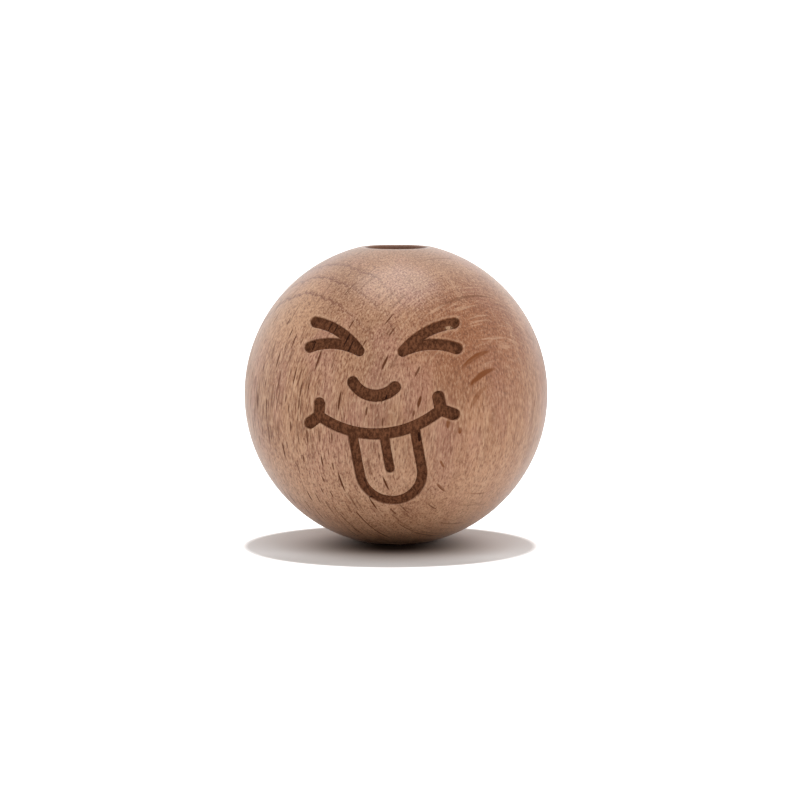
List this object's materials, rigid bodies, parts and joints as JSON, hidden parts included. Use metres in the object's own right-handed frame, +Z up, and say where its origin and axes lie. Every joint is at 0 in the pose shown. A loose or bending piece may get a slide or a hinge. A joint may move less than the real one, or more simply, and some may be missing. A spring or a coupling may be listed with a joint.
{
  "type": "wooden bead",
  "caption": "Turned wooden bead, a ball with a straight cord hole through it and an engraved face of shut eyes, a smile and a tongue.",
  "frame": {"origin": "centre of the ball, on the axis of the cord hole, halfway between its two mouths", "axes": "+Z up the cord hole, towards the top of the face; the engraved face looks along -Y; +X to the right of the face as its viewer sees it"},
  "size_m": [0.025, 0.025, 0.0242],
  "materials": {
    "beech": "sanded beech under a thin clear satin lacquer, with laser-burnt brown lines"
  },
  "bodies": {
    "root": {"bead": "beech"}
  },
  "joints": []
}
